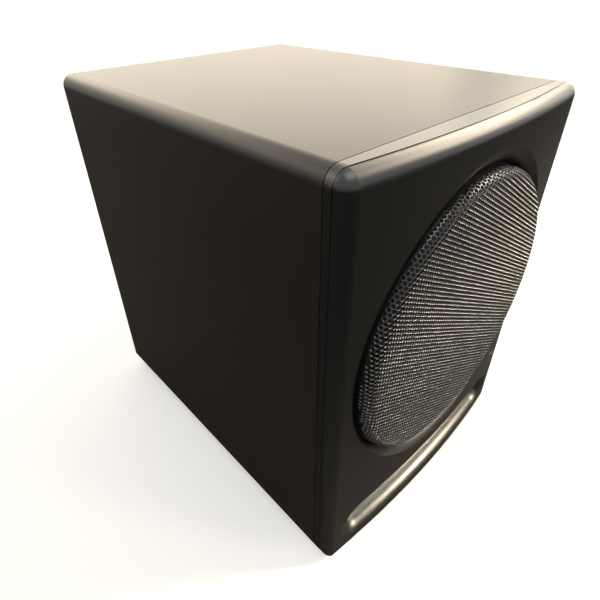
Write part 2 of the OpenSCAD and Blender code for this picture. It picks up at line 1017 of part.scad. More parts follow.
module knob(at) {
  ribs = 18;
  chamfer = 1;
  color("#18181a")
  on_plate(at, plate_t) {
    difference() {
      translate([0, 0, knob_lift]) {
        cylinder(r1 = knob_r + 0.6, r2 = knob_r, h = knob_out - knob_lift - chamfer, $fn = round_fn);
        translate([0, 0, knob_out - knob_lift - chamfer])
          cylinder(r1 = knob_r, r2 = knob_r - chamfer, h = chamfer, $fn = round_fn);
      }
      for (i = [1 : ribs])
        rotate(i * 360 / ribs)
          translate([knob_r + 0.9, 0, knob_lift + 2])
            cylinder(r = 1, h = knob_out, $fn = round_fn);
      translate([-0.5, knob_r / 3, knob_out - 0.6])
        cube([1, knob_r, 2]);
    }
    translate([0, 0, -plate_t - pot_l + 2.5])
      cylinder(r = shaft_r, h = plate_t + pot_l - 2.5 + knob_lift + 1, $fn = round_fn);
  }
}

module level_knob() knob(level_at);
module crossover_knob() knob(crossover_at);

module slide_body(at) {
  room = [slide_lever[0] + slide_travel + 5, slide_lever[1] + 3];
  color(bare_steel)
  on_plate(at + [slide_travel / 2, 0])
    difference() {
      translate([-room[0] / 2 - 1.5, -room[1] / 2 - 1.5, -9])
        cube([room[0] + 3, room[1] + 3, 9]);
      translate([-room[0] / 2, -room[1] / 2, -4])
        cube([room[0], room[1], 5]);
    }
}

module polarity_body() slide_body(polarity_at);
module highpass_body() slide_body(highpass_at);

module slide_lever_piece(at) {
  color("#1f1f20")
  on_plate(at) {
    translate([-slide_lever[0] / 2, -slide_lever[1] / 2, -2])
      cube([slide_lever[0], slide_lever[1], plate_t + 6]);
    translate([-slide_lever[0] / 2 - 1.2, -slide_lever[1] / 2 - 1, -3.6])
      cube([slide_lever[0] + 2.4, slide_lever[1] + 2, 3.2]);
  }
}

module polarity_slider() slide_lever_piece(polarity_at);
module highpass_slider() slide_lever_piece(highpass_at);

module jack(at) {
  body = [16, 16, 28];
  nose_l = 3;
  nut_r = 8.2;
  color("#121213")
  on_plate(at)
    difference() {
      union() {
        translate([-body[0] / 2, -body[1] / 2, -body[2]])
          cube(body);
        cylinder(r = jack_nose_r, h = plate_t + nose_l, $fn = round_fn);
        translate([0, 0, plate_t])
          cylinder(r = nut_r, h = 2, $fn = 6);
      }
      translate([0, 0, plate_t + nose_l - jack_bore_l])
        cylinder(r = jack_r, h = jack_bore_l + 1, $fn = round_fn);
    }
}

module jack_in_left() jack(jack_at[0]);
module jack_in_right() jack(jack_at[1]);
module jack_out_left() jack(jack_at[2]);
module jack_out_right() jack(jack_at[3]);

module phono(at) {
  body = [14, 14, 10];
  shell_t = 0.9;
  core_r = 2.6;
  pin_hole_r = 1.65;
  color("#b8a45c")
  on_plate(at)
    difference() {
      union() {
        translate([-body[0] / 2, -body[1] / 2, -body[2]])
          cube(body);
        cylinder(r = phono_neck_r, h = plate_t + 1, $fn = round_fn);
        cylinder(r = phono_r, h = plate_t + phono_l, $fn = round_fn);
      }
      translate([0, 0, plate_t + 2])
        difference() {
          cylinder(r = phono_r - shell_t, h = phono_l, $fn = round_fn);
          translate([0, 0, -1])
            cylinder(r = core_r, h = phono_l - 0.5, $fn = round_fn);
        }
      translate([0, 0, -6])
        cylinder(r = pin_hole_r, h = phono_l + plate_t + 7, $fn = round_fn);
    }
}

module phono_in_left() phono(phono_at[0]);
module phono_in_right() phono(phono_at[1]);
module phono_out_left() phono(phono_at[2]);
module phono_out_right() phono(phono_at[3]);

cabinet_wrap();
back_panel();
front_baffle();
port_duct();
grille();
grille_gasket();
status_lens();
status_led();
basket();
woofer_gasket();
surround();
spider();
top_plate();
magnet();
yoke();
woofer_screws();
cone();
dust_cap();
coil_former();
coil_winding();
foot_front_left();
foot_front_right();
foot_rear_left();
foot_rear_right();
foot_screws();
amp_gasket();
amp_plate();
heatsink();
amp_board();
board_posts();
transformer();
transformer_bolt();
capacitor_left();
capacitor_right();
plate_screws();
mains_inlet();
inlet_blades();
switch_frame();
power_rocker();
level_pot();
crossover_pot();
level_knob();
crossover_knob();
polarity_body();
highpass_body();
polarity_slider();
highpass_slider();
jack_in_left();
jack_in_right();
jack_out_left();
jack_out_right();
phono_in_left();
phono_in_right();
phono_out_left();
phono_out_right();
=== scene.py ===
import math

import bpy
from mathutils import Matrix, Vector


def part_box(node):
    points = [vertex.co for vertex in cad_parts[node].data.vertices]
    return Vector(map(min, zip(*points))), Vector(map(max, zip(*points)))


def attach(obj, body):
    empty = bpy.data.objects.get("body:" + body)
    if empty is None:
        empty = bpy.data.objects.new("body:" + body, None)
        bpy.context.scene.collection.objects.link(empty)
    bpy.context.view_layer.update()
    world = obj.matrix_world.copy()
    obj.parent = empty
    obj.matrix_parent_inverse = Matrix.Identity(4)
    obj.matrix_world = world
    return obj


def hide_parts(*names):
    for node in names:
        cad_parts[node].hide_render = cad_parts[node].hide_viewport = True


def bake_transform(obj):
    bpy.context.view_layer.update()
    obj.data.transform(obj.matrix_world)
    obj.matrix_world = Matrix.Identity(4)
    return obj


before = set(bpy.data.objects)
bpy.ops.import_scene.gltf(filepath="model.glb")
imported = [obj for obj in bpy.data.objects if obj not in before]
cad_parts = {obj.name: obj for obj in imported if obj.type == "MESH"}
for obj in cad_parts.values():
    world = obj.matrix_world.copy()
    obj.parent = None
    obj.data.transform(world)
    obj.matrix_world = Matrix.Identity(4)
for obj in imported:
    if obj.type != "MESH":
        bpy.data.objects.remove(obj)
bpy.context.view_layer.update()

bl_info = {
    "name": "Slot-port subwoofer",
    "version": (1, 0, 0),
    "blender": (4, 5, 0),
    "location": "3D View > Sidebar > Subwoofer",
    "description": "Dresses a powered subwoofer's frame with its grille, suspension, markings and finishes",
    "category": "Object",
}

MM = 0.001

# Suspension: radii from the woofer's axis, sheet thicknesses, how finely each ring is drawn, and tolerances
SURROUND_MIDDLE_R = 106.3 * MM
SURROUND_ROLL_R = 9.3 * MM
SURROUND_INNER_R = 93.6 * MM
SURROUND_T = 1.2 * MM
ROLL_POINTS = 32
SPIDER_INNER_R = 26.0 * MM
SPIDER_T = 0.8 * MM
SPIDER_RIPPLES = 5
SPIDER_CUTS = 59
SPIN_STEPS = 15
MERGE_DISTANCE = 0.001 * MM
PICK_DISTANCE = 0.01 * MM

# Grille: points round a hole, shares of the hole pitch, of the hole's radius and of the rim's radius,
# and the plain band below the rim
HOLE_POINTS = 12
MERGE_SHARE = 0.01
BARE_EDGE_SHARE = 0.6
HOLE_EDGE_SHARE = 1.05
SKIRT_START_SHARE = 0.85
SKIRT_INSET = 0.2 * MM
SKIRT_POINTS = 192

# Knobs: printed marks round each, the turn from its middle to either end, and the painted line in its face
TICK_COUNT = 11
LONG_TICK_STEP = 5
LONG_TICK_SHARE = 1.5
TICK_GAP = 1.5 * MM
TICK_W = 0.6 * MM
TICK_T = 0.06 * MM
KNOB_SWING = 150
POINTER_W = 0.9 * MM
POINTER_T = 0.2 * MM
POINTER_L = 5.2 * MM
POINTER_R = 5.9 * MM
POINTER_SINK = 0.5 * MM

# Finishes: slow changes of tone, the grain's relief, and specks of dust, sized as shares of their spacing
CLOUDS_PER_METRE = 14.0
BUMP_STRENGTH = 0.6
DUST_SPACING = 9.0 * MM
DUST_CORE_SHARE = 0.02
DUST_EDGE_SHARE = 0.04
DUST_COLOUR = "#8c877c"
SMOOTH_ANGLE = 40

# Stage: distances at which the paper turns plain white, to the camera and in reflections
FLOOR_R = 60
FLOOR_POINTS = 64
FLOOR_DROP = 0.5 * MM
WHITE_NEAR, WHITE_FAR = 0.7, 1.8
WHITE_NEAR_SHARE = 0.5
MIRROR_NEAR, MIRROR_FAR = 4.0, 9.0
PAPER = "#f6f6f6"
PAPER_BOUNCE = "#4a4a4a"
WORLD_FILL = 0.35

# Lamps: name, place, aim, width and height, watts, spread in degrees, and whether the light is warm
MIDDLE = (0, 0, 0.25)
SLOT_MIDDLE = (0, -0.2, 0.03)
GRILLE_MIDDLE = (0, -0.2, 0.18)
LAMPS = (
    ("side_softbox", (1.3, -0.25, 1.2), MIDDLE, (1.5, 0.7), 34.0, 180, True),
    ("back_softbox", (0.85, 1.45, 0.85), MIDDLE, (2.5, 1.2), 31.0, 180, True),
    ("overhead_softbox", (-0.1, -0.45, 1.7), MIDDLE, (1.1, 1.0), 11.0, 180, False),
    ("edge_softbox", (-0.6, 1.3, 1.3), MIDDLE, (2.0, 0.9), 14.0, 180, True),
    ("slot_strip", (0.5, -1.0, 0.16), SLOT_MIDDLE, (0.7, 0.3), 1.0, 20, True),
    ("grille_strip_low", (1.3, -0.75, 0.65), GRILLE_MIDDLE, (0.7, 0.2), 0.5, 12, True),
    ("grille_strip_high", (1.0, -0.85, 1.15), GRILLE_MIDDLE, (0.7, 0.2), 0.7, 12, True),
)

# Camera: fitted to the cabinet's straight edges, with its turn in degrees
CAMERA_PLACE = (-0.32564, -0.33719, 0.49447)
CAMERA_TURN = (56.8269, 0.8178, -43.0569)
CAMERA_SENSOR = 36
CAMERA_LENS = 27.252
CAMERA_SHIFT = (0.01596, -0.05362)
CAMERA_CLIP = 0.01


def axis_of(node):
    """Middle of a node's box, which is where a round node's axis runs."""
    low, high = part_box(node)
    return (low + high) / 2


WOOFER = axis_of("grille")
GRILLE_LOW, GRILLE_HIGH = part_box("grille")
PLATE_FACE_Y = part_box("amp_plate")[1].y


class SubwooferSizes(bpy.types.PropertyGroup):
    """Sizes of the pieces that are modelled here"""

    hole_pitch: bpy.props.FloatProperty(
        name="Hole pitch",
        description="Distance between the centres of neighbouring grille holes",
        default=4.0 * MM,
        unit="LENGTH",
    )
    hole_radius: bpy.props.FloatProperty(
        name="Hole radius",
        description="Radius of each round hole in the grille",
        default=1.84 * MM,
        unit="LENGTH",
    )
    hole_taper: bpy.props.FloatProperty(
        name="Hole taper",
        description="Share of its radius that a hole keeps at the back of the sheet",
        default=0.7,
        subtype="FACTOR",
    )
    sheet: bpy.props.FloatProperty(
        name="Grille sheet",
        description="Thickness of the grille's steel sheet",
        default=0.7 * MM,
        unit="LENGTH",
    )
    rim_radius: bpy.props.FloatProperty(
        name="Rim radius",
        description="Radius at which the grille's edge is rolled over",
        default=10.0 * MM,
        unit="LENGTH",
    )
    sectors: bpy.props.IntProperty(
        name="Suspension sectors",
        description="Number of like pieces that each ring of the suspension is made of",
        default=12,
    )
    tick_length: bpy.props.FloatProperty(
        name="Scale mark",
        description="Length of each printed mark round a knob",
        default=2.6 * MM,
        unit="LENGTH",
    )


class SubwooferFinishes(bpy.types.PropertyGroup):
    """Colours of the main finishes, as sRGB hex values"""

    vinyl: bpy.props.StringProperty(
        name="Vinyl film",
        description="Colour of the film on the cabinet",
        default="#28241f",
    )
    baffle: bpy.props.StringProperty(
        name="Baffle",
        description="Colour of the textured front baffle",
        default="#0c0b0a",
    )
    grille: bpy.props.StringProperty(
        name="Grille",
        description="Colour of the grille's coated steel",
        default="#1e1d1c",
    )
    light: bpy.props.StringProperty(
        name="Light",
        description="Colour of the warm lamps",
        default="#ffeed2",
    )


def linear(code):
    """sRGB hex value as linear red, green, blue and alpha."""
    parts = [int(code[i : i + 2], 16) / 255 for i in (1, 3, 5)]
    return tuple(p / 12.92 if p <= 0.04045 else ((p + 0.055) / 1.055) ** 2.4 for p in parts) + (1.0,)


def add_node(tree, kind, inputs=None, **settings):
    """Adds a shader node; an output socket in inputs is linked, and any other value is set."""
    made = tree.nodes.new(kind)
    for name, value in settings.items():
        setattr(made, name, value)
    for name, value in (inputs or {}).items():
        if isinstance(value, bpy.types.NodeSocket):
            tree.links.new(value, made.inputs[name])
        else:
            made.inputs[name].default_value = value
    return made


def new_material(name):
    """A material with an empty node tree, and the object's own coordinates in metres."""
    material = bpy.data.materials.new(name)
    material.use_nodes = True
    tree = material.node_tree
    tree.nodes.clear()
    place = add_node(tree, "ShaderNodeTexCoord").outputs["Object"]
    return material, tree, place


def grained(
    name, colour, rough, grain_mm, depth_mm, ior=1.5, metallic=0.0, cloud=0.25, spread=0.06, dust=0.0
):
    """A surface with a fine grain that lifts it, slow noise that varies its tone, and dust on it."""
    material, tree, place = new_material(name)
    grain = add_node(
        tree, "ShaderNodeTexNoise",
        {"Vector": place, "Scale": 1 / (grain_mm * MM), "Detail": 3.0, "Roughness": 0.6},
    )
    slow = add_node(tree, "ShaderNodeTexNoise", {"Vector": place, "Scale": CLOUDS_PER_METRE, "Detail": 4.0})
    base = linear(colour)
    dark = tuple(c * (1 - cloud) for c in base[:3]) + (1.0,)
    pale = tuple(min(1.0, c * (1 + cloud)) for c in base[:3]) + (1.0,)
    tone = add_node(tree, "ShaderNodeMixRGB", {"Fac": slow.outputs["Fac"], "Color1": dark, "Color2": pale})
    if dust:
        cells = add_node(tree, "ShaderNodeTexVoronoi", {"Vector": place, "Scale": 1 / DUST_SPACING})
        close = add_node(
            tree, "ShaderNodeMapRange",
            {
                "Value": cells.outputs["Distance"],
                "From Min": DUST_CORE_SHARE,
                "From Max": DUST_EDGE_SHARE,
                "To Min": 1.0,
                "To Max": 0.0,
            },
        )
        lot = add_node(tree, "ShaderNodeSeparateColor", {"Color": cells.outputs["Color"]})
        drawn = add_node(tree, "ShaderNodeMath", {0: lot.outputs["Red"], 1: dust}, operation="LESS_THAN")
        fleck = add_node(
            tree, "ShaderNodeMath", {0: close.outputs["Result"], 1: drawn.outputs[0]}, operation="MULTIPLY"
        )
        tone = add_node(
            tree, "ShaderNodeMixRGB",
            {"Fac": fleck.outputs[0], "Color1": tone.outputs["Color"], "Color2": linear(DUST_COLOUR)},
        )
    gloss = add_node(
        tree, "ShaderNodeMapRange",
        {"Value": grain.outputs["Fac"], "To Min": rough - spread, "To Max": rough + spread},
    )
    bump = add_node(
        tree, "ShaderNodeBump",
        {"Height": grain.outputs["Fac"], "Distance": depth_mm * MM, "Strength": BUMP_STRENGTH},
    )
    shader = add_node(
        tree, "ShaderNodeBsdfPrincipled",
        {
            "Base Color": tone.outputs["Color"],
            "Roughness": gloss.outputs["Result"],
            "Normal": bump.outputs["Normal"],
            "IOR": ior,
            "Metallic": metallic,
        },
    )
    add_node(tree, "ShaderNodeOutputMaterial", {"Surface": shader.outputs["BSDF"]})
    return material


def dress(material, *nodes):
    """Puts a material on CAD nodes."""
    for name in nodes:
        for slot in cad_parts[name].material_slots:
            slot.material = material


def deselect():
    """Leaves edit mode and deselects everything."""
    if bpy.context.object and bpy.context.object.mode != "OBJECT":
        bpy.ops.object.mode_set(mode="OBJECT")
    bpy.ops.object.select_all(action="DESELECT")


def pick(obj, test, kind="vertices"):
    """Selects the parts of a mesh that pass a test, and goes into edit mode."""
    bpy.ops.object.mode_set(mode="EDIT")
    mode = {"vertices": "VERT", "polygons": "FACE"}[kind]
    bpy.ops.mesh.select_mode(type=mode)
    bpy.ops.mesh.select_all(action="DESELECT")
    bpy.ops.object.mode_set(mode="OBJECT")
    for part in getattr(obj.data, kind):
        part.select = bool(test(part))
    bpy.ops.object.mode_set(mode="EDIT")


def apply_modifier(obj, kind, **settings):
    """Adds a modifier with its settings and applies it."""
    modifier = obj.modifiers.new(kind.title(), kind)
    for name, value in settings.items():
        setattr(modifier, name, value)
    bpy.ops.object.modifier_apply(modifier=modifier.name)


def finish_piece(obj, name, material, body="cabinet"):
    """Names a piece, gives it its material and smooth shading, and lets it ride on a body."""
    deselect()
    obj.select_set(True)
    bpy.context.view_layer.objects.active = obj
    bpy.ops.object.transform_apply(location=True, rotation=True, scale=True)
    bpy.ops.object.shade_smooth_by_angle(angle=math.radians(SMOOTH_ANGLE))
    obj.name = name
    obj.data.name = name
    obj.data.materials.clear()
    obj.data.materials.append(material)
    if body:
        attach(obj, body)
    return obj


class SUBWOOFER_OT_grille(bpy.types.Operator):
    """Models the perforated steel grille with its rows of round holes"""

    bl_idname = "subwoofer.grille"
    bl_label = "Grille"

    def execute(self, context):
        sizes = context.scene.subwoofer_sizes
        finishes = context.scene.subwoofer_finishes
        pitch = sizes.hole_pitch
        step = pitch * math.sqrt(3) / 2
        pan_r = (GRILLE_HIGH.x - GRILLE_LOW.x) / 2
        flat_r = pan_r - sizes.rim_radius
        reach = flat_r + sizes.rim_radius * math.pi / 2
        rows = 2 * math.ceil(reach / pitch) + 1
        columns = math.ceil(reach / step) + 1
        hole_edge = sizes.hole_radius * HOLE_EDGE_SHARE

        def is_corner(v):
            turn = math.degrees(math.atan2(v.co.y, v.co.x)) % 60
            return v.co.length > hole_edge and min(turn, 60 - turn) < 1

        def nearest_hole(point):
            column = round(point.x / step)
            centres = []
            for c in (column - 1, column, column + 1):
                row_shift = 0.5 if c % 2 else 0.0
                row = round(point.y / pitch - row_shift)
                centres.append(Vector((c * step, (row + row_shift) * pitch)))
            return min(centres, key=lambda centre: (centre - point.xy).length)

        # One hexagonal cell with its round hole, a second half a row up, and rows and columns of the pair
        deselect()
        bpy.ops.mesh.primitive_circle_add(vertices=HOLE_POINTS, radius=sizes.hole_radius)
        cell = context.object
        bpy.ops.object.mode_set(mode="EDIT")
        bpy.ops.mesh.select_all(action="SELECT")
        bpy.ops.mesh.extrude_edges_move()
        grow = pitch / 2 / sizes.hole_radius
        bpy.ops.transform.resize(value=(grow, grow, 1))
        pick(cell, is_corner)
        corner_grow = 2 / math.sqrt(3)
        bpy.ops.transform.resize(value=(corner_grow, corner_grow, 1))
        bpy.ops.mesh.select_all(action="SELECT")
        bpy.ops.mesh.duplicate_move(TRANSFORM_OT_translate={"value": (step, pitch / 2, 0)})
        bpy.ops.mesh.select_all(action="SELECT")
        shift = (-step * 2 * (columns // 2), -pitch * (rows // 2), 0)
        bpy.ops.transform.translate(value=shift)
        bpy.ops.object.mode_set(mode="OBJECT")
        for count, offset in ((rows, (0, pitch, 0)), (columns, (2 * step, 0, 0))):
            apply_modifier(
                cell, "ARRAY", count=count, use_relative_offset=False,
                use_constant_offset=True, constant_offset_displace=offset,
            )

        # The sheet is cut to a disc of whole cells and thickened
        widest = reach - pitch * BARE_EDGE_SHARE
        pick(cell, lambda f: nearest_hole(f.center).length > widest, "polygons")
        bpy.ops.mesh.delete(type="FACE")
        bpy.ops.mesh.select_all(action="SELECT")
        bpy.ops.mesh.remove_doubles(threshold=MERGE_SHARE * pitch)
        bpy.ops.mesh.normals_make_consistent(inside=False)
        bpy.ops.object.mode_set(mode="OBJECT")
        if cell.data.polygons[0].normal.z < 0:
            cell.data.flip_normals()
        apply_modifier(cell, "SOLIDIFY", thickness=sizes.sheet, offset=-1)

        # Each hole narrows towards the back, and the disc's edge is rolled over the rim radius
        for v in cell.data.vertices:
            depth = -v.co.z
            flat = v.co.xy
            centre = nearest_hole(flat)
            if depth > 0 and (flat - centre).length < hole_edge:
                flat = centre + (flat - centre) * sizes.hole_taper
            out = flat.length
            turn = min(max(0.0, out - flat_r) / sizes.rim_radius, math.pi / 2)
            bend_r = sizes.rim_radius - depth
            flat *= (min(out, flat_r) + bend_r * math.sin(turn)) / max(out, pitch / 4)
            sink = sizes.rim_radius - bend_r * math.cos(turn) + max(0.0, out - reach)
            v.co = Vector((WOOFER.x + flat.x, GRILLE_LOW.y + sink, WOOFER.z + flat.y))
        split = reach / math.sqrt(2)
        pick(cell, lambda f: (f.center - WOOFER).xz.length > split, "polygons")
        bpy.ops.mesh.separate(type="SELECTED")
        bpy.ops.object.mode_set(mode="OBJECT")
        rim = next(o for o in context.selected_objects if o is not cell)

        # Powder coat on punched steel: nearly black face on, with bright glints on the walls of the holes
        steel = grained(
            "powder_coated_steel", finishes.grille, 0.3, 0.5, 0.01, ior=1.8, metallic=0.2, cloud=0.1
        )
        finish_piece(cell, "grille_face", steel)
        finish_piece(rim, "grille_rim", steel)
        deselect()
        skirt_low = GRILLE_LOW.y + sizes.rim_radius * SKIRT_START_SHARE
        depth = GRILLE_HIGH.y - skirt_low
        bpy.ops.mesh.primitive_cylinder_add(
            vertices=SKIRT_POINTS, radius=pan_r - SKIRT_INSET, depth=depth, end_fill_type="NOTHING",
            location=(WOOFER.x, skirt_low + depth / 2, WOOFER.z), rotation=(math.pi / 2, 0, 0),
        )
        skirt = context.object
        apply_modifier(skirt, "SOLIDIFY", thickness=sizes.sheet, offset=-1)
        finish_piece(skirt, "grille_skirt", steel)
        for piece in (cell, rim, skirt):
            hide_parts("grille")
        return {"FINISHED"}


def spun_ring(profile, name, node, thick, material):
    """Spins a profile into like sectors."""
    count = bpy.context.scene.subwoofer_sizes.sectors
    turn = 2 * math.pi / count
    bpy.ops.object.mode_set(mode="EDIT")
    bpy.ops.mesh.select_all(action="SELECT")
    bpy.ops.mesh.spin(steps=SPIN_STEPS, angle=turn, center=WOOFER, axis=(0, 1, 0))
    bpy.ops.mesh.select_all(action="SELECT")
    bpy.ops.mesh.remove_doubles(threshold=MERGE_DISTANCE)
    bpy.ops.mesh.normals_make_consistent(inside=False)
    bpy.ops.object.mode_set(mode="OBJECT")
    apply_modifier(profile, "SOLIDIFY", thickness=thick, offset=0)
    finish_piece(profile, name, material, body=None)
    sectors = [profile]
    for k in range(1, count):
        deselect()
        profile.select_set(True)
        bpy.context.view_layer.objects.active = profile
        bpy.ops.object.duplicate()
        bpy.ops.transform.rotate(value=turn * k, orient_axis="Y", center_override=WOOFER)
        bpy.ops.object.transform_apply(location=True, rotation=True, scale=True)
        sectors.append(bpy.context.object)
    for k, sector in enumerate(sectors):
        sector.name = f"{name}_{k + 1:02d}"
        sector.data.name = sector.name
        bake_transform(sector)
        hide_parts(node)


class SUBWOOFER_OT_suspension(bpy.types.Operator):
    """Models the woofer's half-roll surround and rippled spider, each made of like sectors"""

    bl_idname = "subwoofer.suspension"
    bl_label = "Suspension"

    def execute(self, context):
        # Surround: half a circle with a flat flange at each end
        low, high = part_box("surround")
        outer_r = (high.x - low.x) / 2
        roll_y = high.y - SURROUND_T / 2
        deselect()
        bpy.ops.mesh.primitive_circle_add(
            vertices=ROLL_POINTS, radius=SURROUND_ROLL_R,
            location=(WOOFER.x + SURROUND_MIDDLE_R, roll_y, WOOFER.z),
        )
        roll = context.object
        bpy.ops.object.transform_apply(location=True)
        bpy.ops.object.mode_set(mode="EDIT")
        bpy.ops.mesh.select_all(action="SELECT")
        cut = (0, roll_y + MERGE_DISTANCE, 0)
        bpy.ops.mesh.bisect(plane_co=cut, plane_no=(0, 1, 0), clear_outer=True)
        flanges = (
            (SURROUND_MIDDLE_R + SURROUND_ROLL_R, outer_r),
            (SURROUND_MIDDLE_R - SURROUND_ROLL_R, SURROUND_INNER_R),
        )
        for start, end in flanges:
            pick(roll, lambda v, r=start: abs(v.co.x - WOOFER.x - r) < PICK_DISTANCE)
            bpy.ops.mesh.extrude_vertices_move(TRANSFORM_OT_translate={"value": (end - start, 0, 0)})
        bpy.ops.object.mode_set(mode="OBJECT")

        # Moulded nitrile rubber: a soft dark sheen along the crown of the roll
        rubber = grained("nitrile_rubber", "#141414", 0.55, 0.4, 0.02, ior=1.5)
        spun_ring(
            roll, "surround_sector", "surround", SURROUND_T,
            rubber,
        )

        # Spider: a line of even ripples
        low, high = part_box("spider")
        outer_r = (high.x - low.x) / 2
        deselect()
        bpy.ops.mesh.primitive_plane_add(size=1)
        line = context.object
        pick(line, lambda v: v.co.y > 0)
        bpy.ops.mesh.delete(type="VERT")
        bpy.ops.mesh.select_all(action="SELECT")
        bpy.ops.mesh.subdivide(number_cuts=SPIDER_CUTS)
        bpy.ops.object.mode_set(mode="OBJECT")
        middle_y = (low.y + high.y) / 2
        height = (high.y - low.y - SPIDER_T) / 2
        for v in line.data.vertices:
            along = v.co.x + 0.5
            rise = height * math.sin(2 * math.pi * SPIDER_RIPPLES * along)
            r = SPIDER_INNER_R + (outer_r - SPIDER_INNER_R) * along
            v.co = Vector((WOOFER.x + r, middle_y + rise, WOOFER.z))

        # Woven cotton stiffened with resin: matt and amber, with a coarse grain
        cloth = grained("resin_cloth", "#b98f4a", 0.8, 0.6, 0.08)
        spun_ring(
            line, "spider_sector", "spider", SPIDER_T,
            cloth,
        )
        return {"FINISHED"}


class SUBWOOFER_OT_scales(bpy.types.Operator):
    """Models the printed scale marks round both knobs and the painted lines on them"""

    bl_idname = "subwoofer.scales"
    bl_label = "Knob scales"

    def execute(self, context):
        length = context.scene.subwoofer_sizes.tick_length
        face_y = PLATE_FACE_Y + TICK_T / 2
        # Screen-printed ink: flat pale strokes with no gloss
        ink = grained("screen_print", "#d8d6d0", 0.6, 0.3, 0.005, cloud=0.05)
        for knob in ("level_knob", "crossover_knob"):
            axis = axis_of(knob)
            low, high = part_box(knob)
            ring_r = (high.x - low.x) / 2 + TICK_GAP + length / 2
            deselect()
            marks = []
            for k in range(TICK_COUNT):
                share = k / (TICK_COUNT - 1)
                angle = math.radians(KNOB_SWING) * (2 * share - 1)
                stretch = LONG_TICK_SHARE if k % LONG_TICK_STEP == 0 else 1.0
                bpy.ops.mesh.primitive_cube_add(
                    size=1, location=(axis.x, face_y, axis.z + ring_r + (stretch - 1) * length / 2),
                    scale=(TICK_W, TICK_T, length * stretch),
                )
                bpy.ops.transform.rotate(
                    value=angle, orient_axis="Y", center_override=(axis.x, face_y, axis.z)
                )
                bpy.ops.object.transform_apply(location=True, rotation=True, scale=True)
                marks.append(context.object)
            for mark in marks:
                mark.select_set(True)
            bpy.ops.object.join()
            scale = finish_piece(context.object, knob.replace("knob", "scale"), ink)
            deselect()
            bpy.ops.mesh.primitive_cube_add(
                size=1, location=(axis.x, high.y - POINTER_SINK, axis.z + POINTER_R),
                scale=(POINTER_W, POINTER_T, POINTER_L),
            )
            pointer = finish_piece(
                context.object, knob.replace("knob", "pointer"), ink, knob.replace("knob", "body")
            )
        return {"FINISHED"}


